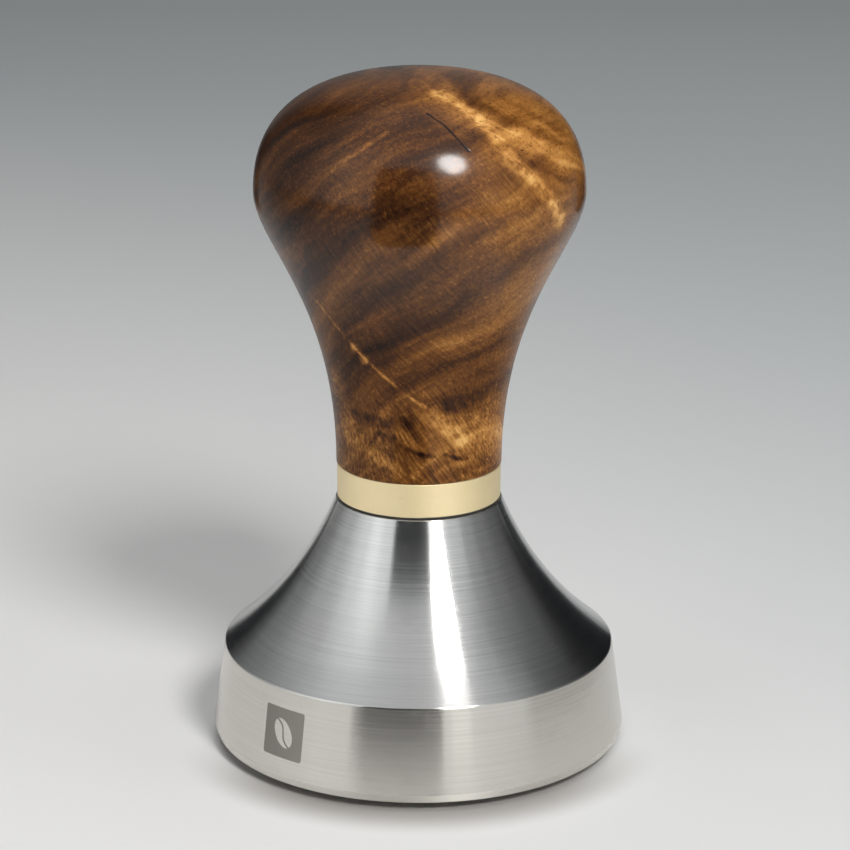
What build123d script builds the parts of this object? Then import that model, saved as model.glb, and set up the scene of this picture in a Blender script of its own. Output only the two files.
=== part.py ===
from build123d import *
import math
import os

# An espresso tamper whose handle screws off its base. Millimetres, +Z up.
# The origin is the centre of the base's flat underside, on the axis that every piece is turned about.

# Tamper base: a turned stainless steel piston for a 58 mm filter basket. The middle of its underside is flat,
# and from there it rises slightly to the edge.
BASE_RADIUS = 29.2
BASE_HEIGHT = 35.25
FOOT_RADIUS = 15.0
EDGE_RISE = 1.2
CHAMFER_HEIGHT = 1.1
CHAMFER_INSET = 0.35
RIM_TOP_RADIUS = 27.5
RIM_TOP_HEIGHT = 14.15
RIM_TOP_FILLET = 0.35
FLARE_ARC_RADIUS = 49.9
NECK_RADIUS = 11.6
NECK_FILLET = 0.12

# M8 thread that joins the handle's stud to the base. The ridge starts a little inside the bar that carries it.
THREAD_PITCH = 1.25
FLANK_SLOPE = math.tan(math.radians(30))
STUD_CREST_RADIUS = 3.95
STUD_ROOT_RADIUS = 3.2
STUD_CREST_FLAT = 0.16
RIDGE_OVERLAP = 0.06
SEAM_ANGLE = 200.0
THREAD_CLEARANCE = 0.1

# Steel stud: threaded where it enters the base, with a plain shank in the handle's insert.
STUD_ENGAGEMENT = 12.5
STUD_END_CHAMFER = 0.7
SHANK_RADIUS = 4.1
SHANK_RECESS = 1.2
HEX_SOCKET_WIDTH = 4.0
HEX_SOCKET_DEPTH = 4.5

# The base's tapped hole.
HOLE_DEPTH = 15.0
HOLE_MOUTH_RADIUS = 4.6
COUNTERSINK_DEPTH = 1.4
DRILL_POINT_ANGLE = 118.0

# Rubber washer between the base's neck and the ferrule.
WASHER_THICKNESS = 0.3
WASHER_RADIUS = 11.35
WASHER_HOLE_RADIUS = 4.6

# Brass ferrule, a collar round the handle's tenon.
FERRULE_RADIUS = 11.45
FERRULE_HEIGHT = 4.8
FERRULE_WALL = 1.9
FERRULE_FILLET = 0.15

# Walnut handle: a neck that swells into a mushroom head, as two curves that meet at the widest height.
HANDLE_NECK_RADIUS = 11.55
HANDLE_RADIUS = 22.65
HANDLE_WIDEST_HEIGHT = 79.0
HANDLE_TOP_HEIGHT = 95.2
NECK_STRAIGHTNESS = 23.4
WIDEST_FULLNESS_BELOW = 6.9
WIDEST_FULLNESS_ABOVE = 7.2
TOP_FLATNESS = 19.1
HANDLE_NECK_CHAMFER = 0.15
TENON_RECESS = 0.3

# Brass insert glued into the handle's bore. The stud's shank is bonded into it.
INSERT_RADIUS = 5.5
INSERT_LENGTH = 20.0
INSERT_RECESS = 0.3
INSERT_GROOVE_COUNT = 4
INSERT_GROOVE_WIDTH = 1.2
INSERT_GROOVE_DEPTH = 0.5
BOND_GAP = 0.05
STUD_TOP_GAP = 1.5

# Heights that follow from the sizes above.
FERRULE_BOTTOM = BASE_HEIGHT + WASHER_THICKNESS
FERRULE_TOP = FERRULE_BOTTOM + FERRULE_HEIGHT
INSERT_BOTTOM = FERRULE_BOTTOM + INSERT_RECESS
INSERT_TOP = INSERT_BOTTOM + INSERT_LENGTH
STUD_BOTTOM = BASE_HEIGHT - STUD_ENGAGEMENT
STUD_TOP = INSERT_TOP - STUD_TOP_GAP
SHANK_BOTTOM = INSERT_BOTTOM + SHANK_RECESS


def turned(*outline):
    """The solid turned about Z from the lines of a closed outline in the XZ plane."""
    return revolve(make_face([edge for line in outline for edge in line.edges()]), Axis.Z)


def ring(inner, outer, bottom, top):
    """A plain ring about Z."""
    return turned(Polyline((inner, 0, bottom), (outer, 0, bottom), (outer, 0, top), (inner, 0, top), close=True))


def edges_at(solid, radius, height):
    """The round edges of a turned solid that have this radius and height."""
    return [
        edge
        for edge in solid.edges().filter_by(GeomType.CIRCLE)
        if abs(edge.radius - radius) < 0.01 and abs(edge.arc_center.Z - height) < 0.01
    ]


def bar(radius, bottom, top):
    """A plain round bar on Z."""
    return Pos(0, 0, bottom) * Cylinder(radius, top - bottom, align=(Align.CENTER, Align.CENTER, Align.MIN))


def cone(bottom_radius, top_radius, bottom, top):
    """A cone on Z, or a slice of one."""
    height = top - bottom
    return Pos(0, 0, bottom) * Cone(bottom_radius, top_radius, height, align=(Align.CENTER, Align.CENTER, Align.MIN))


def thread(bottom, top, gap):
    """A bar with an M8 thread from bottom to top, its surface moved out by gap.
    Its helix starts a whole number of turns from Z = 0, so the stud and the hole are in mesh.
    The bar's seam is turned away from the ridge's, because the two don't join cleanly where the seams meet."""
    start = THREAD_PITCH * math.floor(bottom / THREAD_PITCH - 1)
    end = top + THREAD_PITCH
    root = STUD_ROOT_RADIUS + gap
    crest = STUD_CREST_RADIUS + gap
    foot = root - RIDGE_OVERLAP
    half_crest = STUD_CREST_FLAT / 2 + gap * FLANK_SLOPE
    half_foot = half_crest + (crest - foot) * FLANK_SLOPE
    form = Polyline(
        (foot, 0, start - half_foot),
        (crest, 0, start - half_crest),
        (crest, 0, start + half_crest),
        (foot, 0, start + half_foot),
        close=True,
    )
    ridge = sweep(make_face(form), path=Helix(THREAD_PITCH, end - start, foot, center=(0, 0, start)), is_frenet=True)
    core = Rot(0, 0, SEAM_ANGLE) * bar(root, start, end)
    return (core + ridge) & bar(2 * crest, bottom, top)


def hollow_arc(start, end, radius):
    """An arc in the XZ plane from start to end that bulges towards the axis."""
    middle = (Vector(start) + Vector(end)) / 2
    chord = Vector(end) - Vector(start)
    inward = Vector(-abs(chord.Z), 0, -abs(chord.X)).normalized()
    sagitta = radius - math.sqrt(radius**2 - (chord.length / 2) ** 2)
    return ThreePointArc(start, middle + inward * sagitta, end)


def make_tamper_base():
    """The steel piston, with a tapped hole. Its outline runs from the foot's flat face over the rising edge,
    chamfer, tapered rim, rounded shoulder and concave flare to the neck."""
    neck_top = (NECK_RADIUS, 0, BASE_HEIGHT)
    rim_top = (RIM_TOP_RADIUS, 0, RIM_TOP_HEIGHT)
    chamfer_top = (BASE_RADIUS, 0, EDGE_RISE + CHAMFER_HEIGHT)
    chamfer_bottom = (BASE_RADIUS - CHAMFER_INSET, 0, EDGE_RISE)
    foot_edge = (FOOT_RADIUS, 0, 0)
    solid = turned(
        Line((0, 0, 0), foot_edge),
        TangentArc(foot_edge, chamfer_bottom, tangent=(1, 0, 0)),
        Line(chamfer_bottom, chamfer_top),
        Line(chamfer_top, rim_top),
        hollow_arc(rim_top, neck_top, FLARE_ARC_RADIUS),
        Line(neck_top, (0, 0, BASE_HEIGHT)),
        Line((0, 0, BASE_HEIGHT), (0, 0, 0)),
    )
    solid = fillet(edges_at(solid, RIM_TOP_RADIUS, RIM_TOP_HEIGHT), RIM_TOP_FILLET)
    solid = fillet(edges_at(solid, NECK_RADIUS, BASE_HEIGHT), NECK_FILLET)
    hole_bottom = BASE_HEIGHT - HOLE_DEPTH
    hole_radius = STUD_ROOT_RADIUS + THREAD_CLEARANCE
    tip_depth = hole_radius / math.tan(math.radians(DRILL_POINT_ANGLE / 2))
    solid -= thread(hole_bottom, BASE_HEIGHT + 1, THREAD_CLEARANCE)
    solid -= cone(HOLE_MOUTH_RADIUS - COUNTERSINK_DEPTH, HOLE_MOUTH_RADIUS, BASE_HEIGHT - COUNTERSINK_DEPTH, BASE_HEIGHT)
    return solid - cone(0, hole_radius, hole_bottom - tip_depth, hole_bottom)


def make_neck_washer():
    """The rubber washer that keeps the handle from working loose."""
    return ring(WASHER_HOLE_RADIUS, WASHER_RADIUS, BASE_HEIGHT, FERRULE_BOTTOM)


def make_ferrule():
    """The brass collar."""
    solid = ring(FERRULE_RADIUS - FERRULE_WALL, FERRULE_RADIUS, FERRULE_BOTTOM, FERRULE_TOP)
    outer_edges = edges_at(solid, FERRULE_RADIUS, FERRULE_BOTTOM) + edges_at(solid, FERRULE_RADIUS, FERRULE_TOP)
    return fillet(outer_edges, FERRULE_FILLET)


def make_threaded_stud():
    """The stud that sticks out of the handle: its lower end has a chamfer and a hex socket."""
    tip_radius = STUD_CREST_RADIUS - STUD_END_CHAMFER
    reach = STUD_END_CHAMFER + 1
    envelope = turned(
        Polyline(
            (0, 0, STUD_BOTTOM),
            (tip_radius, 0, STUD_BOTTOM),
            (tip_radius + reach, 0, STUD_BOTTOM + reach),
            (tip_radius + reach, 0, STUD_TOP),
            (0, 0, STUD_TOP),
            close=True,
        )
    )
    threaded_end = thread(STUD_BOTTOM, SHANK_BOTTOM + RIDGE_OVERLAP, 0) & envelope
    shank = bar(SHANK_RADIUS, SHANK_BOTTOM, STUD_TOP)
    shank = chamfer(edges_at(shank, SHANK_RADIUS, STUD_TOP), STUD_END_CHAMFER)
    hexagon = RegularPolygon(HEX_SOCKET_WIDTH / 2, 6, major_radius=False)
    socket = Pos(0, 0, STUD_BOTTOM) * extrude(hexagon, HEX_SOCKET_DEPTH)
    return threaded_end + shank - socket


def make_stud_insert():
    """The brass insert: a sleeve with grooves that hold the glue."""
    sleeve = ring(SHANK_RADIUS + BOND_GAP, INSERT_RADIUS, INSERT_BOTTOM, INSERT_TOP)
    spacing = INSERT_LENGTH / (INSERT_GROOVE_COUNT + 1)
    for i in range(1, INSERT_GROOVE_COUNT + 1):
        low = INSERT_BOTTOM + i * spacing - INSERT_GROOVE_WIDTH / 2
        sleeve -= ring(INSERT_RADIUS - INSERT_GROOVE_DEPTH, INSERT_RADIUS + 1, low, low + INSERT_GROOVE_WIDTH)
    return sleeve


def make_handle():
    """The walnut handle, with a tenon for the ferrule and a bore for the insert."""
    tenon_radius = FERRULE_RADIUS - FERRULE_WALL
    tenon_bottom = FERRULE_BOTTOM + TENON_RECESS
    neck = (HANDLE_NECK_RADIUS, 0, FERRULE_TOP + HANDLE_NECK_CHAMFER)
    neck_foot = (HANDLE_NECK_RADIUS - HANDLE_NECK_CHAMFER, 0, FERRULE_TOP)
    widest = (HANDLE_RADIUS, 0, HANDLE_WIDEST_HEIGHT)
    top = (0, 0, HANDLE_TOP_HEIGHT)
    swell = Bezier(
        neck,
        (HANDLE_NECK_RADIUS, 0, FERRULE_TOP + NECK_STRAIGHTNESS),
        (HANDLE_RADIUS, 0, HANDLE_WIDEST_HEIGHT - WIDEST_FULLNESS_BELOW),
        widest,
    )
    crown = Bezier(
        widest,
        (HANDLE_RADIUS, 0, HANDLE_WIDEST_HEIGHT + WIDEST_FULLNESS_ABOVE),
        (TOP_FLATNESS, 0, HANDLE_TOP_HEIGHT),
        top,
    )
    foot = Polyline(
        top,
        (0, 0, INSERT_TOP),
        (INSERT_RADIUS, 0, INSERT_TOP),
        (INSERT_RADIUS, 0, tenon_bottom),
        (tenon_radius, 0, tenon_bottom),
        (tenon_radius, 0, FERRULE_TOP),
        neck_foot,
        neck,
    )
    return turned(swell, crown, foot)


def main():
    pieces = {
        "tamper_base": make_tamper_base(),
        "neck_washer": make_neck_washer(),
        "ferrule": make_ferrule(),
        "threaded_stud": make_threaded_stud(),
        "stud_insert": make_stud_insert(),
        "handle": make_handle(),
    }
    os.makedirs("parts", exist_ok=True)
    for name, solid in pieces.items():
        export_step(solid, f"parts/{name}.step")


main()
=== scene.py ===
import math

import bpy
from mathutils import Euler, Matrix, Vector

# The looks of the espresso tamper. Metres, +Z up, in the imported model's own frame.
# Every surface pattern is worked out in millimetres from the object's own coordinates.

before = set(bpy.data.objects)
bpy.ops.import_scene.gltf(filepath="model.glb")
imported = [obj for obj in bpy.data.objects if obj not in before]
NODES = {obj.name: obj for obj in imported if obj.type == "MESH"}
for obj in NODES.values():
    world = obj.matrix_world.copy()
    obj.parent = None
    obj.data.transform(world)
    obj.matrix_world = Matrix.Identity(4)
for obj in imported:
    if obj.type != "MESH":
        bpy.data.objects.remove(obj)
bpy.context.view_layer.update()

MM = 0.001
BLACK = (0.0, 0.0, 0.0)

# Camera: in front, looking down at the tamper. A scratch program fitted its place and lens to the photo's
# outlines. The sensor's width and the lens are in millimetres.
CAMERA_PLACE = (0, -0.379, 0.1612)
CAMERA_TARGET = (0.00083, 0, 0.0454)
CAMERA_LENS = 120.45
CAMERA_TILT = math.radians(0.2)
CAMERA_SENSOR = 36.0
CAMERA_NEAR = 0.01
CAMERA_FAR = 20.0

# Key light: a tall soft box in front on the right. Azimuth is measured from the front, towards +X, and
# angles are in degrees.
KEY_AZIMUTH = 28
KEY_ELEVATION = 43.5
KEY_DISTANCE = 0.6
KEY_TARGET = (0.004, -0.020, 0.087)
KEY_SIZE = (0.168, 0.240)
KEY_RADIANCE = 27.0
KEY_TINT = (1.0, 0.99, 0.97)
FILL_TARGET = (0, 0, 0.03)

# Soft boxes that light matt surfaces and that no reflection shows:
# (name, azimuth and elevation in degrees, distance, size across and up, radiance).
FILL_LIGHTS = [
    ("top_soft_box", 180, 82, 1.20, (1.15, 1.15), 1.90),
    ("left_soft_box", -62, 32, 0.60, (0.50, 0.40), 0.75),
    ("front_soft_box", 5, 40, 0.90, (0.70, 0.40), 0.8),
    ("right_soft_box", 80, 30, 0.70, (0.45, 0.35), 1.2),
]

# What reflections show of the rest of the studio, as brightness round the horizon:
# (azimuth in degrees, brightness). The first values follow what a scratch program read off the steel in the
# photo, and they were then tuned by hand.
STUDIO_ROUND = [
    (-180, 0.16),
    (-162, 0.16),
    (-148, 0.03),
    (-130, 0.22),
    (-100, 0.50),
    (-72, 0.90),
    (-57, 1.17),
    (-42, 0.92),
    (-10, 0.78),
    (30, 0.78),
    (50, 0.70),
    (66, 0.40),
    (85, 0.24),
    (110, 0.13),
    (132, 0.02),
    (158, 0.02),
    (172, 0.15),
    (180, 0.16),
]
CEILING_BRIGHTNESS = 0.62
CEILING_START = 0.72
CEILING_FULL = 0.99
STUDIO_TINT = (0.97, 1.0, 1.02)
HORIZON_TONE = (0.20, 0.212, 0.22)

# Floor: painted pale in front on the left, and greyer further back and to the right, as painted light
# falloff. Its half size and the depths of the falloff are in metres.
FLOOR_HALF_SIZE = 3.0
FLOOR_NEAR = (0.84, 0.84, 0.835)
FLOOR_FAR = (0.56, 0.595, 0.605)
FLOOR_FADE_START = -0.02
FLOOR_FADE_END = 0.50
FLOOR_FADE_TURN = 0.75
FLOOR_RIGHT_FADE = 0.46
FLOOR_ROUGHNESS = 0.7
PAPER_TONE = (0.6, 0.6, 0.6)
PAPER_CHANGE = 0.015
# The floor's right side is painted greyer between these places in millimetres, as painted light falloff.
FLOOR_RIGHT = (-40.0, 110.0)
# Beyond these distances in millimetres the floor turns into the tone of the horizon.
FLOOR_FAR_START = 620.0
FLOOR_FAR_END = 2200.0
# A painted shadow on the floor in front of the base: a soft dark halo that stands in for the shade under
# the base's edge. It grows from HALO_START to HALO_FULL and fades out from HALO_FADE to HALO_OUTER, all in
# millimetres from the axis. HALO_FRONT says how far in front of the axis a place has to be, as a part of its
# distance, for the halo to start and to be full.
HALO_START = 25.5
HALO_FULL = 28.8
HALO_FADE = 29.5
HALO_OUTER = 37.0
PAINTED_SHADOW_DEPTH = 0.60
HALO_FRONT = (0.1, 0.9)
PAINTED_SHADOW_TONE = (0.11, 0.085, 0.06)

# Dark cards that only reflections show, one where the camera is and two at the back:
# (name, azimuth in degrees, distance, half width, height).
DARK_CARDS = [
    ("camera_card", -9.5, 0.34, 0.138, 0.365),
    ("right_back_card", 143, 0.24, 0.048, 0.16),
    ("left_back_card", -149, 0.24, 0.034, 0.10),
]
CARD_BOTTOM = 0.001
CARD_CORNER = 0.03
CARD_CORNER_STEPS = 8
CARD_TONE = (0.012, 0.013, 0.015)

# Strips on the floor, which only reflections show: a dark one under the camera, a bright one beside it
# and a grey one on the right. They glow with their own tone and no lamp, as painted reflections of the
# studio. Each lies between two azimuths in degrees.
DARK_STRIP = (-33, 12)
BRIGHT_STRIP = (17, 26)
GREY_STRIP = (58, 135)
STRIP_NEAR = 0.088
STRIP_FAR = 0.345
STRIP_LIFT = 0.0004
BRIGHT_TONE = (1.15, 1.14, 1.10)
GREY_TONE = (0.45, 0.445, 0.43)


class Field:
    """A number at each point of a surface. Arithmetic on it adds math nodes to its material."""

    def __init__(self, graph, socket):
        self.graph = graph
        self.socket = socket

    def __add__(self, other):
        return self.graph.math("ADD", self, other)

    def __radd__(self, other):
        return self.graph.math("ADD", other, self)

    def __sub__(self, other):
        return self.graph.math("SUBTRACT", self, other)

    def __rsub__(self, other):
        return self.graph.math("SUBTRACT", other, self)

    def __mul__(self, other):
        return self.graph.math("MULTIPLY", self, other)

    def __rmul__(self, other):
        return self.graph.math("MULTIPLY", other, self)

    def __truediv__(self, other):
        return self.graph.math("DIVIDE", self, other)

    def __pow__(self, other):
        return self.graph.math("POWER", self, other)

    def __abs__(self):
        return self.graph.math("ABSOLUTE", self)

    def between(self, low, high):
        """0 at low and 1 at high, with a smooth step from one to the other. low may be the larger."""
        node = self.graph.node("ShaderNodeMapRange")
        node.interpolation_type = "SMOOTHSTEP"
        flipped = low > high
        self.graph.feed(node.inputs["Value"], self)
        node.inputs["From Min"].default_value = min(low, high)
        node.inputs["From Max"].default_value = max(low, high)
        node.inputs["To Min"].default_value = 1.0 if flipped else 0.0
        node.inputs["To Max"].default_value = 0.0 if flipped else 1.0
        return Field(self.graph, node.outputs["Result"])


class Graph:
    """The nodes of one material or of the world."""

    def __init__(self, tree):
        self.tree = tree
        self.tree.nodes.clear()

    def node(self, kind):
        return self.tree.nodes.new(kind)

    def feed(self, socket, value):
        """Puts a field, another node's output or a plain value into a socket."""
        if isinstance(value, Field):
            value = value.socket
        if isinstance(value, bpy.types.NodeSocket):
            self.tree.links.new(value, socket)
        else:
            socket.default_value = value

    def math(self, operation, *values):
        node = self.node("ShaderNodeMath")
        node.operation = operation
        for socket, value in zip(node.inputs, values):
            self.feed(socket, value)
        return Field(self, node.outputs["Value"])

    def position(self, output="Object"):
        """The x, y and z of each point, as three fields."""
        coordinates = self.node("ShaderNodeTexCoord")
        split = self.node("ShaderNodeSeparateXYZ")
        self.tree.links.new(coordinates.outputs[output], split.inputs[0])
        return [Field(self, split.outputs[axis]) for axis in "XYZ"]

    def noise(self, x, y, z, detail=2.0, roughness=0.5):
        """Smooth noise from 0 to 1, about 0.5, whose lumps are about 1 across."""
        join = self.node("ShaderNodeCombineXYZ")
        for socket, value in zip(join.inputs, (x, y, z)):
            self.feed(socket, value)
        node = self.node("ShaderNodeTexNoise")
        self.tree.links.new(join.outputs[0], node.inputs["Vector"])
        node.inputs["Scale"].default_value = 1.0
        node.inputs["Detail"].default_value = detail
        node.inputs["Roughness"].default_value = roughness
        return Field(self, node.outputs["Fac"])

    def ramp(self, value, stops, smooth=True):
        """A colour for each value from 0 to 1, from stops of (value, colour)."""
        node = self.node("ShaderNodeValToRGB")
        self.feed(node.inputs["Fac"], value)
        ramp = node.color_ramp
        ramp.interpolation = "EASE" if smooth else "LINEAR"
        while len(ramp.elements) < len(stops):
            ramp.elements.new(1.0)
        for element, (place, color) in zip(ramp.elements, stops):
            element.position = place
            element.color = (*color, 1.0)
        return node.outputs["Color"]

    def mix(self, factor, first, second, blend="MIX"):
        """The first colour where factor is 0, and the second where it is 1."""
        node = self.node("ShaderNodeMix")
        node.data_type = "RGBA"
        node.blend_type = blend
        self.feed(node.inputs["Factor"], factor)
        colors = [socket for socket in node.inputs if socket.type == "RGBA"]
        for socket, color in zip(colors, (first, second)):
            self.feed(socket, color if isinstance(color, bpy.types.NodeSocket) else (*color, 1.0))
        return [socket for socket in node.outputs if socket.type == "RGBA"][0]

    def bump(self, height, depth):
        """A surface normal from a height field of 0 to 1 that stands depth millimetres proud."""
        node = self.node("ShaderNodeBump")
        node.inputs["Strength"].default_value = 1.0
        node.inputs["Distance"].default_value = depth * MM
        self.feed(node.inputs["Height"], height)
        return node.outputs["Normal"]


class Surface(Graph):
    """A material with one Principled shader, and its x, y and z in millimetres."""

    def __init__(self, name):
        self.material = bpy.data.materials.new(name)
        self.material.use_nodes = True
        super().__init__(self.material.node_tree)
        self.shader = self.node("ShaderNodeBsdfPrincipled")
        output = self.node("ShaderNodeOutputMaterial")
        self.tree.links.new(self.shader.outputs["BSDF"], output.inputs["Surface"])
        self.x, self.y, self.z = [place / MM for place in self.position()]

    def set(self, **inputs):
        """Sets the shader's inputs, named with _ for each space."""
        for name, value in inputs.items():
            socket = self.shader.inputs[name.replace("_", " ")]
            if isinstance(value, tuple) and socket.type == "RGBA":
                value = (*value, 1.0)
            self.feed(socket, value)

    def radius(self):
        return self.math("SQRT", self.x**2.0 + self.y**2.0)

    def tangent_round_axis(self):
        tangent = self.node("ShaderNodeTangent")
        tangent.direction_type = "RADIAL"
        tangent.axis = "Z"
        return tangent.outputs["Tangent"]

    def along(self, direction):
        """How far each point lies along a direction, in millimetres."""
        unit = Vector(direction).normalized()
        return self.x * unit.x + self.y * unit.y + self.z * unit.z

    def lumps(self, across, up, detail=2.0, roughness=0.5):
        """Noise with about this many lumps to a millimetre, across and up."""
        return self.noise(self.x * across, self.y * across, self.z * up, detail, roughness)

    def near_path(self, points, place):
        """How far a place, given as three fields, lies from a line through several points."""
        nearest = None
        for start, end in zip(points, points[1:]):
            distance = self.near_line(start, end, place)
            nearest = distance if nearest is None else self.math("MINIMUM", nearest, distance)
        return nearest

    def near_line(self, start, end, place):
        """How far a place, given as three fields, lies from the straight line between two points."""
        run = Vector(end) - Vector(start)
        offset = [coordinate - origin for coordinate, origin in zip(place, start)]
        along = sum_of(part * step for part, step in zip(offset, run)) / run.length_squared
        along = self.math("MINIMUM", self.math("MAXIMUM", along, 0.0), 1.0)
        rest = [part - along * step for part, step in zip(offset, run)]
        return self.math("SQRT", sum_of(part**2.0 for part in rest))


def sum_of(parts):
    total = None
    for part in parts:
        total = part if total is None else total + part
    return total


def centered(noise):
    """Turns noise from 0 to 1 into noise from -1 to 1."""
    return noise * 2.0 - 1.0


# Etched mark on the rim: a plain square with a coffee bean left bright inside it.
MARK_AZIMUTH = math.radians(-40.4)
MARK_HEIGHT = 8.15
MARK_HALF_SIZE = 3.45
MARK_CORNER = 0.35
MARK_EDGE = 0.04
BEAN_TILT = math.radians(-32)
BEAN_LENGTH = 2.15
BEAN_WIDTH = 1.4
BEAN_CREASE_SWING = 0.34
BEAN_CREASE_WIDTH = 0.15


def etched_mark(surface):
    """1 where the rim is etched and 0 elsewhere."""
    azimuth = surface.math("ARCTAN2", surface.x, surface.y * -1.0)
    across = (azimuth - MARK_AZIMUTH) * surface.radius()
    up = surface.z - MARK_HEIGHT
    inner = MARK_HALF_SIZE - MARK_CORNER
    out_x = surface.math("MAXIMUM", abs(across) - inner, 0.0)
    out_z = surface.math("MAXIMUM", abs(up) - inner, 0.0)
    corner_distance = surface.math("SQRT", out_x**2.0 + out_z**2.0)
    square = corner_distance.between(MARK_CORNER + MARK_EDGE, MARK_CORNER - MARK_EDGE)
    # The bean's own axes: length is along it, and width is across it.
    length = up * math.cos(BEAN_TILT) + across * math.sin(BEAN_TILT)
    width = across * math.cos(BEAN_TILT) - up * math.sin(BEAN_TILT)
    oval = surface.math("SQRT", (length / BEAN_LENGTH) ** 2.0 + (width / BEAN_WIDTH) ** 2.0)
    bean = oval.between(1.0 + MARK_EDGE, 1.0 - MARK_EDGE)
    crease_place = surface.math("SINE", length * (math.pi / BEAN_LENGTH)) * BEAN_CREASE_SWING
    beside_crease = abs(width - crease_place)
    crease = beside_crease.between(BEAN_CREASE_WIDTH + MARK_EDGE, BEAN_CREASE_WIDTH - MARK_EDGE)
    return square * (1.0 - bean * (1.0 - crease))


LINE_WANDER = 0.03
LINE_DETAIL = 3.0
LINE_ROUGHNESS = 0.65


def turning_lines(surface, spacing, wander=LINE_WANDER):
    """Lines left by the lathe: noise that changes quickly along the outline and slowly round the axis."""
    outline = (surface.z - surface.radius()) / spacing
    return surface.noise(surface.x * wander, surface.y * wander, outline, LINE_DETAIL, LINE_ROUGHNESS)


# Heights of the tops of the base's lower chamfer and of its rim, and how softly their looks end there.
CHAMFER_TOP = 2.3
CHAMFER_EDGE = 0.03
RIM_TOP = 14.15
RIM_EDGE = 0.15
# The chamfer's looks begin between these two radii, outside the underside.
CHAMFER_RADII = (28.7, 28.8)

# Lathe lines on the steel, from fine to coarse:
# (spacing in millimetres, wander, change of tone, change of roughness, height).
STEEL_LINES = [
    (0.13, LINE_WANDER, 0.50, 0.035, 0.75),
    (0.30, 0.04, 0.38, 0.022, 0.30),
    (0.75, 0.02, 0.14, 0.010, 0.20),
]
STEEL_TONES = [(0.2, (0.585, 0.58, 0.57)), (0.8, (0.73, 0.72, 0.70))]
STEEL_MIDDLE_TONE = 0.5
STEEL_WARM = (0.62, 0.60, 0.57)
STEEL_WARM_COVER = 0.25
STEEL_RIM_TINT = (1.0, 0.975, 0.935)
# The chamfer is painted paler than the rest of the steel: a painted highlight.
CHAMFER_PAINTED_HIGHLIGHT = (0.93, 0.91, 0.85)
STEEL_ROUGHNESS = 0.185
SMUDGE_ROUGHNESS = 0.035
CHAMFER_ROUGHNESS = 0.22
STEEL_ANISOTROPY = 0.92
STEEL_LINE_DEPTH = 0.0026
# What the etching does to the steel. Its depth and its grain are in line depths.
ETCH_TONE = (0.36, 0.34, 0.32)
ETCH_COVER = 0.9
ETCH_ROUGHNESS = 0.36
ETCH_GRAIN_ROUGHNESS = 0.05
ETCH_DEPTH = 6.0
ETCH_GRAIN_HEIGHT = 2.0
# A quarter turn from the tangent, so that highlights smear along the axis.
SMEAR_TURN = 0.25


def steel_material():
    surface = Surface("turned_stainless_steel")
    tone = STEEL_MIDDLE_TONE
    roughness = STEEL_ROUGHNESS
    height = 0.0
    for spacing, wander, tone_change, roughness_change, line_height in STEEL_LINES:
        lines = turning_lines(surface, spacing, wander)
        tone = tone + centered(lines) * tone_change
        roughness = roughness + centered(lines) * roughness_change
        height = height + lines * line_height
    broad = surface.lumps(across=0.06, up=0.09)
    smudge = surface.lumps(across=0.35, up=0.25, detail=4.0, roughness=0.6)
    etched_grain = surface.lumps(across=6.0, up=6.0, detail=3.0)
    mark = etched_mark(surface)
    rim = surface.z.between(RIM_TOP + RIM_EDGE, RIM_TOP - RIM_EDGE)
    chamfer = surface.z.between(CHAMFER_TOP + CHAMFER_EDGE, CHAMFER_TOP - CHAMFER_EDGE)
    chamfer = chamfer * surface.radius().between(*CHAMFER_RADII)
    color = surface.ramp(tone, STEEL_TONES, smooth=False)
    color = surface.mix(broad.between(0.35, 0.75) * STEEL_WARM_COVER, color, STEEL_WARM)
    color = surface.mix(mark * ETCH_COVER, color, ETCH_TONE)
    color = surface.mix(rim, color, STEEL_RIM_TINT, "MULTIPLY")
    # Painted highlight: the chamfer is painted paler than the steel.
    color = surface.mix(chamfer, color, CHAMFER_PAINTED_HIGHLIGHT)
    roughness = roughness + smudge.between(0.5, 0.8) * SMUDGE_ROUGHNESS
    roughness = roughness + mark * (ETCH_ROUGHNESS + centered(etched_grain) * ETCH_GRAIN_ROUGHNESS)
    roughness = roughness + chamfer * CHAMFER_ROUGHNESS
    height = height - mark * ETCH_DEPTH + mark * etched_grain * ETCH_GRAIN_HEIGHT
    surface.set(
        Base_Color=color,
        Metallic=1.0,
        Roughness=roughness,
        Anisotropic=STEEL_ANISOTROPY,
        Anisotropic_Rotation=SMEAR_TURN,
        Tangent=surface.tangent_round_axis(),
        Normal=surface.bump(height, STEEL_LINE_DEPTH),
    )
    return surface.material


# The two brasses: pale on the ferrule, and machined on the insert. The spacing of their lathe lines and the
# lines' depth are in millimetres.
PALE_BRASS = {
    "light": (1.0, 0.87, 0.59),
    "dark": (0.98, 0.83, 0.53),
    "roughness": 0.66,
    "spacing": 0.22,
    "depth": 0.0010,
}
MACHINED_BRASS = {
    "light": (0.86, 0.68, 0.34),
    "dark": (0.66, 0.48, 0.22),
    "roughness": 0.24,
    "spacing": 0.3,
    "depth": 0.003,
}
BRASS_SPECK_DARKNESS = 0.6
BRASS_SPECK_COVER = 0.35
BRASS_ANISOTROPY = 0.2


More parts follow.
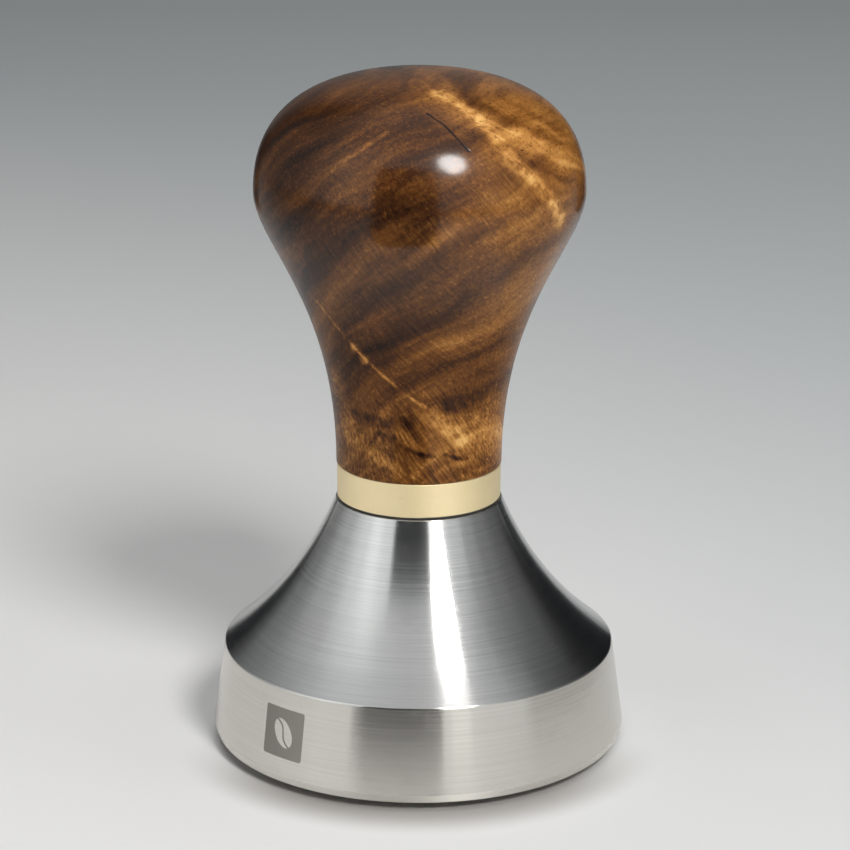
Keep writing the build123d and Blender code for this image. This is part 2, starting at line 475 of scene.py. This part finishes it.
def brass_material(name, light, dark, roughness, spacing, depth):
    surface = Surface(name)
    lines = turning_lines(surface, spacing)
    patina = surface.lumps(across=0.22, up=0.35, detail=5.0, roughness=0.6)
    speck = surface.lumps(across=2.2, up=2.2)
    color = surface.ramp(
        0.5 + centered(lines) * 0.3 + centered(patina) * 0.6,
        [(0.15, dark), (0.7, light)],
        smooth=False,
    )
    speck_color = tuple(part * BRASS_SPECK_DARKNESS for part in dark)
    color = surface.mix(speck.between(0.70, 0.78) * BRASS_SPECK_COVER, color, speck_color)
    surface.set(
        Base_Color=color,
        Metallic=1.0,
        Roughness=roughness + centered(lines) * 0.04 + patina.between(0.45, 0.8) * 0.05,
        Anisotropic=BRASS_ANISOTROPY,
        Anisotropic_Rotation=SMEAR_TURN,
        Tangent=surface.tangent_round_axis(),
        Normal=surface.bump(lines, depth),
    )
    return surface.material


STUD_TONES = [(0.3, (0.42, 0.43, 0.45)), (0.7, (0.62, 0.62, 0.61))]
STUD_OIL = (0.36, 0.34, 0.31)
STUD_OIL_COVER = 0.4
STUD_ROUGHNESS = 0.27
STUD_GRAIN_DEPTH = 0.004


def stud_material():
    surface = Surface("zinc_plated_stud")
    patch = surface.lumps(across=0.5, up=0.3, detail=4.0, roughness=0.6)
    grain = surface.lumps(across=7.0, up=7.0, detail=3.0)
    oil = surface.lumps(across=0.2, up=0.55)
    color = surface.ramp(patch, STUD_TONES)
    color = surface.mix(oil.between(0.55, 0.75) * STUD_OIL_COVER, color, STUD_OIL)
    surface.set(
        Base_Color=color,
        Metallic=1.0,
        Roughness=STUD_ROUGHNESS + centered(patch) * 0.08 + centered(grain) * 0.04,
        Normal=surface.bump(grain, STUD_GRAIN_DEPTH),
    )
    return surface.material


RUBBER_TONES = [(0.35, (0.014, 0.014, 0.014)), (0.8, (0.045, 0.043, 0.04))]
RUBBER_ROUGHNESS = 0.62
RUBBER_GRAIN_DEPTH = 0.02


def rubber_material():
    surface = Surface("black_rubber")
    grain = surface.lumps(across=5.0, up=5.0, detail=4.0, roughness=0.6)
    dust = surface.lumps(across=0.5, up=3.0, detail=4.0)
    surface.set(
        Base_Color=surface.ramp(dust, RUBBER_TONES),
        Roughness=RUBBER_ROUGHNESS + centered(grain) * 0.12,
        Normal=surface.bump(grain, RUBBER_GRAIN_DEPTH),
    )
    return surface.material


# Walnut. Its fibres run steeply down to the right, and its figure crosses them in bands that rise to the
# right. Sizes are in millimetres.
FIBRE = (0.60, 0.22, -0.77)
BAND_NORMAL = (-0.50, 0.30, 0.81)
SLOW_WARP_SIZE = 19.0
QUICK_WARP_SIZE = 5.0
BAND_LENGTH = 22.0
BAND_WIDTH = 3.6
PLATE_LENGTH = 7.0
PLATE_WIDTH = 15.0
STREAK_LENGTH = 9.0
STREAK_WIDTH = 1.25
FIBRE_LENGTH = 8.0
FIBRE_WIDTH = 0.34
MOTTLE_SIZE = 0.7
PORE_LENGTH = 3.2
PORE_WIDTH = 0.20
DOT_SIZE = 0.42
SHINE_LENGTH = 2.2
SHINE_WIDTH = 1.6
BREAK_LENGTH = 1.6
BREAK_WIDTH = 1.3
REDDISH_SIZE = 9.0
LACQUER_SIZE = 2.6

# Where the tone and the lacquer change across the handle and with height: (start, full). The right side
# is painted lighter and the left side and the top darker: painted light and shade.
PAINTED_LIGHT_SIDE = (-2.0, 16.0)
PAINTED_SHADE_SIDE = (-4.0, -18.0)
PAINTED_SHADE_TOP = (84.0, 92.0)
NECK_FIGURE = (57.0, 46.0)
GLOSSY_HEAD = (58.0, 73.0)

# Sapwood: the golden wood beyond a plane that crosses the handle's head.
SAPWOOD_NORMAL = (0.54, 0.0, 0.84)
SAPWOOD_START = 78.2
SAPWOOD_EDGE = 2.6
SAPWOOD_LINE_WIDTH = 1.7
SAPWOOD_LINE_LENGTH = 30.0
SAPWOOD_LINE_DEPTH = 22.0

# How much each layer changes the tone of the wood, which is 0 at its darkest and 1 at its lightest.
WALNUT_TONE = 0.29
BAND_CHANGE = 0.43
PLATE_CHANGE = 0.14
STREAK_CHANGE = 0.26
FIBRE_CHANGE = 0.17
MOTTLE_CHANGE = 0.10
SHINE_CHANGE = 0.05
SAPWOOD_CHANGE = 0.10
SAPWOOD_LINE_CHANGE = 0.48
# Painted light and shade: how much lighter the right side and how much darker the left side and the top are
# painted.
PAINTED_LIGHT_CHANGE = 0.165
PAINTED_SIDE_SHADE_CHANGE = 0.10
PAINTED_TOP_SHADE_CHANGE = 0.11
NECK_CHANGE = 0.17
NECK_FIBRE_CHANGE = 0.25
PORE_CHANGE = 0.12
SAPWOOD_PORE_CHANGE = 0.34
CRACK_CHANGE = 0.6
REDDISH_TINT = (1.0, 0.80, 0.66)
REDDISH_COVER = 0.22

WOOD_ROUGHNESS = 0.34
WOOD_GRAIN_DEPTH = 0.012
COAT_WEIGHT = 0.22
COAT_HEAD_WEIGHT = 0.47
COAT_ROUGHNESS = 0.15
COAT_WAVE_DEPTH = 0.006

# Marks in the wood, each along points on its surface: (points, half width, softness, change of tone).
# Most of these points, and the ends of the crack, were printed by a scratch program that turned places
# picked in the photo into places on the handle. The rest were given one by one.
WOOD_MARKS = [
    ([(2.5, -10.4, 94.2), (7.4, -14.5, 90.9), (11.6, -17.2, 86.7), (15.4, -15.8, 82.6), (18.6, -12.6, 77.6)],
     0.35, 1.4, 0.38),
    ([(-11.4, -18.3, 85.4), (-8.0, -18.6, 87.9), (-4.3, -17.6, 90.1)], 0.1, 0.5, 0.20),
    ([(-5.4, -21.8, 81.8), (0.5, -22.6, 80.6)], 0.6, 2.4, -0.12),
    ([(-19.0, -4.9, 70.8), (-13.3, -10.3, 65.3), (-8.1, -11.9, 59.1)], 0.12, 0.26, 0.30),
    ([(-8.6, -11.8, 59.7), (-7.4, -12.0, 58.3)], 0.5, 0.7, 0.34),
    ([(-8.1, -11.9, 59.1), (-4.1, -12.7, 55.4), (0.7, -12.5, 51.6)], 0.12, 0.30, 0.34),
    ([(0.5, -12.3, 51.2), (3.6, -11.4, 48.6), (6.0, -10.2, 46.4)], 0.4, 1.4, 0.30),
    ([(-4.0, -12.2, 49.8), (-0.5, -12.2, 45.4)], 0.3, 1.0, 0.20),
    ([(3.8, -11.8, 51.6), (9.2, -8.6, 53.2), (12.6, -2.6, 54.4)], 0.5, 1.4, -0.22),
    ([(-11.4, -6.1, 53.6), (-9.5, -7.1, 46.2)], 0.9, 2.0, 0.20),
    ([(-1.6, -11.6, 45.5), (0.2, -11.7, 44.9), (2.0, -11.5, 44.5)], 0.05, 0.5, -0.34),
    ([(3.4, -11.1, 44.5), (5.2, -10.4, 43.8), (6.8, -9.5, 43.7)], 0.05, 0.45, -0.32),
    ([(-5.6, -10.3, 47.4), (-3.4, -11.2, 47.0)], 0.05, 0.6, -0.24),
    ([(-8.4, -8.2, 49.6), (-4.6, -11.0, 49.0), (-1.6, -12.0, 49.2)], 0.2, 1.3, -0.20),
    ([(-7.0, -9.4, 44.4), (-4.0, -11.0, 43.2), (-2.6, -11.4, 42.0)], 0.3, 1.1, 0.22),
]
CRACK = [(0.9, -15.2, 92.1), (3.8, -17.4, 90.35), (6.4, -18.9, 88.1)]
CRACK_HALF_WIDTH = 0.09
CRACK_SOFTNESS = 0.16

WALNUT_TONES = [
    (0.00, (0.014, 0.005, 0.002)),
    (0.22, (0.062, 0.021, 0.005)),
    (0.42, (0.160, 0.059, 0.012)),
    (0.60, (0.330, 0.138, 0.030)),
    (0.78, (0.560, 0.265, 0.068)),
    (1.00, (0.820, 0.480, 0.160)),
]


def walnut_material():
    surface = Surface("figured_walnut")
    x, y, z = surface.x, surface.y, surface.z
    # Slow and quick warps bend every layer a little. A whole number added to one coordinate only keeps the
    # noise of one layer apart from that of another.
    slow = centered(surface.noise(x / SLOW_WARP_SIZE, y / SLOW_WARP_SIZE, z / SLOW_WARP_SIZE, detail=1.0))
    quick_x, quick_y, quick_z = [place / QUICK_WARP_SIZE for place in (x, y, z)]
    quick = centered(surface.noise(quick_x + 7.0, quick_y, quick_z, detail=3.0, roughness=0.5))
    side = Vector(FIBRE).cross(Vector(BAND_NORMAL)).normalized()
    layer = surface.along(BAND_NORMAL) + slow * 4.5 + quick * 0.6
    fibre = surface.along(FIBRE) + slow * 1.5
    across = surface.along(side.cross(Vector(FIBRE))) + slow * 2.5 + quick * 0.25
    depth = surface.along(side) + slow * 2.5

    def crosswise(length, width, fibre_shift=0.0, detail=2.0, roughness=0.5):
        """Noise in lumps that are long along the fibres and narrow across them."""
        return surface.noise(fibre / length + fibre_shift, across / width, depth / width, detail, roughness)

    bands = surface.noise(
        x / BAND_LENGTH, y / BAND_LENGTH, layer / BAND_WIDTH, detail=1.5, roughness=0.4
    )
    plates = surface.noise(
        fibre / PLATE_LENGTH, across / PLATE_WIDTH + 2.0, depth / PLATE_WIDTH, detail=1.0
    )
    streaks = surface.noise(
        x / STREAK_LENGTH + 3.0, y / STREAK_LENGTH, layer / STREAK_WIDTH, detail=3.0, roughness=0.65
    )
    fibres = crosswise(FIBRE_LENGTH, FIBRE_WIDTH, roughness=0.55)
    mottle = surface.noise(x / MOTTLE_SIZE, y / MOTTLE_SIZE, z / MOTTLE_SIZE, detail=3.0, roughness=0.7)
    pore = crosswise(PORE_LENGTH, PORE_WIDTH, fibre_shift=5.0, detail=1.0).between(0.62, 0.72)
    dots = surface.noise(x / DOT_SIZE, y / DOT_SIZE, z / DOT_SIZE + 3.0, detail=1.0).between(0.60, 0.72)
    shine = crosswise(SHINE_LENGTH, SHINE_WIDTH, fibre_shift=9.0)
    # Sapwood, with lines that flow along its edge.
    beyond = surface.along(SAPWOOD_NORMAL) + slow * 3.0 + quick * 0.9
    gold = beyond.between(SAPWOOD_START - SAPWOOD_EDGE / 2, SAPWOOD_START + SAPWOOD_EDGE / 2)
    flow = surface.noise(
        x / SAPWOOD_LINE_LENGTH, y / SAPWOOD_LINE_DEPTH, beyond / SAPWOOD_LINE_WIDTH, detail=2.0
    )
    # Painted light on the right side of the handle, and painted shade on its left side and on its top.
    painted_shade_side = x.between(*PAINTED_SHADE_SIDE)
    tone = (
        WALNUT_TONE
        + centered(bands) * BAND_CHANGE * (1.0 - gold * 0.6)
        + centered(plates) * PLATE_CHANGE
        + centered(streaks) * STREAK_CHANGE
        + centered(fibres) * FIBRE_CHANGE * (1.0 - gold * 0.7)
        + centered(mottle) * MOTTLE_CHANGE
        + centered(shine) * SHINE_CHANGE
        + gold * (SAPWOOD_CHANGE + centered(flow) * SAPWOOD_LINE_CHANGE)
        + x.between(*PAINTED_LIGHT_SIDE) * PAINTED_LIGHT_CHANGE
        - painted_shade_side * PAINTED_SIDE_SHADE_CHANGE
        - z.between(*PAINTED_SHADE_TOP) * (1.0 - gold) * PAINTED_TOP_SHADE_CHANGE
        + z.between(*NECK_FIGURE) * (NECK_CHANGE + centered(fibres) * NECK_FIBRE_CHANGE)
    )
    # The marks wander a little, and they are broken up along the fibres.
    bent = [place + quick * 0.35 for place in (x, y, z)]
    broken = 0.4 + crosswise(BREAK_LENGTH, BREAK_WIDTH, fibre_shift=3.0).between(0.38, 0.58) * 0.6
    for points, half_width, softness, change in WOOD_MARKS:
        mark = surface.near_path(points, bent).between(half_width + softness, half_width)
        tone = tone + mark * broken * change
    crack = surface.near_path(CRACK, bent).between(CRACK_HALF_WIDTH + CRACK_SOFTNESS, CRACK_HALF_WIDTH)
    tone = tone + (pore + dots * 0.9) * (PORE_CHANGE - gold * SAPWOOD_PORE_CHANGE) - crack * CRACK_CHANGE
    color = surface.ramp(tone, WALNUT_TONES, smooth=False)
    reddish = surface.noise(x / REDDISH_SIZE, y / REDDISH_SIZE + 4.0, z / REDDISH_SIZE)
    color = surface.mix(reddish.between(0.35, 0.7) * REDDISH_COVER, color, REDDISH_TINT, "MULTIPLY")
    lacquer = surface.noise(x / LACQUER_SIZE, y / LACQUER_SIZE, z / LACQUER_SIZE)
    coat = COAT_WEIGHT + z.between(*GLOSSY_HEAD) * COAT_HEAD_WEIGHT
    surface.set(
        Base_Color=color,
        Roughness=WOOD_ROUGHNESS + centered(shine) * 0.08 + pore * 0.1,
        Specular_IOR_Level=0.06,
        Coat_Weight=coat * (1.0 - painted_shade_side * 0.5),
        Coat_Roughness=COAT_ROUGHNESS,
        Coat_IOR=1.5,
        Normal=surface.bump(fibres * 0.4 - pore * 0.8 - crack * 1.5, WOOD_GRAIN_DEPTH),
        Coat_Normal=surface.bump(lacquer - crack * 2.0, COAT_WAVE_DEPTH),
    )
    return surface.material


def floor_material():
    surface = Surface("pale_floor")
    radius = surface.radius()
    paper = surface.lumps(across=0.4, up=1.0, detail=3.0)
    # Painted light falloff: the floor's tone turns from FLOOR_NEAR to FLOOR_FAR further back and to the
    # right.
    depth = surface.y * MM + surface.x * MM * FLOOR_FADE_TURN
    painted_falloff = depth.between(FLOOR_FADE_START, FLOOR_FADE_END)
    painted_falloff = painted_falloff + (1.0 - painted_falloff) * surface.x.between(*FLOOR_RIGHT) * FLOOR_RIGHT_FADE
    color = surface.mix(painted_falloff, FLOOR_NEAR, FLOOR_FAR)
    color = surface.mix(paper.between(0.3, 0.9) * PAPER_CHANGE, color, PAPER_TONE)
    # Painted shadow: a dark ring on the floor in front of the base, where the base's edge would shade it.
    in_front = (surface.y * -1.0 / radius).between(*HALO_FRONT)
    painted_shadow_ring = radius.between(HALO_START, HALO_FULL) * radius.between(HALO_OUTER, HALO_FADE)
    color = surface.mix(painted_shadow_ring * in_front * PAINTED_SHADOW_DEPTH, color, PAINTED_SHADOW_TONE)
    far = radius.between(FLOOR_FAR_START, FLOOR_FAR_END)
    color = surface.mix(far, color, BLACK)
    surface.set(
        Base_Color=color,
        Roughness=FLOOR_ROUGHNESS,
        Specular_IOR_Level=0.15,
        Emission_Color=HORIZON_TONE,
        Emission_Strength=far,
    )
    return surface.material


# The cards and strips glow with their tone, with no lamp: painted reflections, near black on the dark cards.
def card_material(name, tone):
    surface = Surface(name)
    surface.set(Base_Color=BLACK, Roughness=1.0, Specular_IOR_Level=0.0)
    surface.set(Emission_Color=tone, Emission_Strength=1.0)
    return surface.material


def add_mesh(name, points, faces, material):
    mesh = bpy.data.meshes.new(name)
    mesh.from_pydata(points, [], faces)
    mesh.update()
    mesh.materials.append(material)
    piece = bpy.data.objects.new(name, mesh)
    bpy.context.scene.collection.objects.link(piece)
    return piece


def give_material(node, material):
    """Puts one material on a CAD node."""
    slots = NODES[node].material_slots
    if not slots:
        NODES[node].data.materials.append(material)
    for slot in NODES[node].material_slots:
        slot.material = material


def add_floor():
    half = FLOOR_HALF_SIZE
    corners = [(-half, -half, 0), (half, -half, 0), (half, half, 0), (-half, half, 0)]
    floor = add_mesh("floor", corners, [(0, 1, 2, 3)], floor_material())


def show_only_in_reflections(piece):
    piece.visible_camera = False
    piece.visible_diffuse = False
    piece.visible_shadow = False
    piece.visible_transmission = False


def add_dark_card(name, azimuth, distance, half_width, height, material):
    """A dark upright card with round corners, which faces the tamper."""
    points = []
    corner_signs = [(1, 1), (-1, 1), (-1, -1), (1, -1)]
    middle = (height + CARD_BOTTOM) / 2
    half_height = (height - CARD_BOTTOM) / 2
    for quarter, (side, upper) in enumerate(corner_signs):
        for step in range(CARD_CORNER_STEPS + 1):
            angle = math.pi / 2 * (quarter + step / CARD_CORNER_STEPS)
            across = side * (half_width - CARD_CORNER) + CARD_CORNER * math.cos(angle)
            up = middle + upper * (half_height - CARD_CORNER) + CARD_CORNER * math.sin(angle)
            points.append((across, 0, up))
    card = add_mesh(name, points, [tuple(range(len(points)))], material)
    turn = math.radians(azimuth)
    card.location = (distance * math.sin(turn), -distance * math.cos(turn), 0)
    card.rotation_euler = (0, 0, turn)
    show_only_in_reflections(card)


def add_floor_strip(name, azimuths, material):
    """A strip on the floor that widens away from the tamper."""
    low, high = (math.radians(degrees) for degrees in azimuths)
    corners = []
    for reach, turn in ((STRIP_FAR, low), (STRIP_FAR, high), (STRIP_NEAR, high), (STRIP_NEAR, low)):
        corners.append((reach * math.sin(turn), -reach * math.cos(turn), STRIP_LIFT))
    show_only_in_reflections(add_mesh(name, corners, [(0, 1, 2, 3)], material))


def add_soft_box(name, azimuth, elevation, distance, target, size, radiance):
    """An oval area light that faces the target. Its power follows from its radiance and its area."""
    light = bpy.data.lights.new(name, "AREA")
    light.shape = "ELLIPSE"
    light.size, light.size_y = size
    light.energy = radiance * math.pi * (math.pi * size[0] * size[1] / 4)
    lamp = bpy.data.objects.new(name, light)
    bpy.context.scene.collection.objects.link(lamp)
    turn, rise = math.radians(azimuth), math.radians(elevation)
    level = math.cos(rise)
    direction = Vector((level * math.sin(turn), -level * math.cos(turn), math.sin(rise)))
    lamp.location = Vector(target) + direction * distance
    lamp.rotation_euler = direction.to_track_quat("Z", "Y").to_euler()
    return lamp


def add_lights():
    key = add_soft_box(
        "key_soft_box", KEY_AZIMUTH, KEY_ELEVATION, KEY_DISTANCE, KEY_TARGET, KEY_SIZE, KEY_RADIANCE
    )
    key.data.color = KEY_TINT
    for name, azimuth, elevation, distance, size, radiance in FILL_LIGHTS:
        fill = add_soft_box(name, azimuth, elevation, distance, FILL_TARGET, size, radiance)
        fill.visible_glossy = False
        fill.visible_camera = False


def add_studio():
    """The world. Reflections show the studio, and the camera sees only the plain tone of the horizon."""
    world = bpy.data.worlds.new("studio")
    bpy.context.scene.world = world
    world.use_nodes = True
    graph = Graph(world.node_tree)
    x, y, z = graph.position("Generated")
    azimuth = graph.math("ARCTAN2", x, y * -1.0)
    turn = azimuth / (2.0 * math.pi) + 0.5
    stops = [((degrees / 360) + 0.5, (level, level, level)) for degrees, level in STUDIO_ROUND]
    sides = graph.ramp(turn, stops)
    ceiling = (CEILING_BRIGHTNESS,) * 3
    light = graph.mix(z.between(CEILING_START, CEILING_FULL), sides, ceiling)
    tinted = graph.mix(1.0, light, STUDIO_TINT, "MULTIPLY")
    path = graph.node("ShaderNodeLightPath")
    seen = graph.mix(Field(graph, path.outputs["Is Camera Ray"]), tinted, HORIZON_TONE)
    background = graph.node("ShaderNodeBackground")
    output = graph.node("ShaderNodeOutputWorld")
    graph.feed(background.inputs["Color"], seen)
    graph.feed(output.inputs["Surface"], background.outputs["Background"])
    world.cycles_visibility.diffuse = False


def add_camera():
    data = bpy.data.cameras.new("camera")
    data.lens = CAMERA_LENS
    data.sensor_width = CAMERA_SENSOR
    data.clip_start = CAMERA_NEAR
    data.clip_end = CAMERA_FAR
    camera = bpy.data.objects.new("camera", data)
    bpy.context.scene.collection.objects.link(camera)
    camera.location = CAMERA_PLACE
    aim = Vector(CAMERA_TARGET) - Vector(CAMERA_PLACE)
    upright = aim.to_track_quat("-Z", "Y")
    camera.rotation_euler = (upright @ Euler((0, 0, CAMERA_TILT)).to_quaternion()).to_euler()
    bpy.context.scene.camera = camera


give_material("tamper_base", steel_material())
give_material("neck_washer", rubber_material())
give_material("ferrule", brass_material("pale_brass", **PALE_BRASS))
give_material("stud_insert", brass_material("machined_brass", **MACHINED_BRASS))
give_material("threaded_stud", stud_material())
give_material("handle", walnut_material())
add_floor()
dark = card_material("dark_card", CARD_TONE)
for card in DARK_CARDS:
    add_dark_card(*card, dark)
add_floor_strip("dark_strip", DARK_STRIP, dark)
add_floor_strip("bright_strip", BRIGHT_STRIP, card_material("bright_card", BRIGHT_TONE))
add_floor_strip("grey_strip", GREY_STRIP, card_material("grey_card", GREY_TONE))
add_lights()
add_studio()
add_camera()
bpy.context.scene.view_settings.view_transform = "Standard"
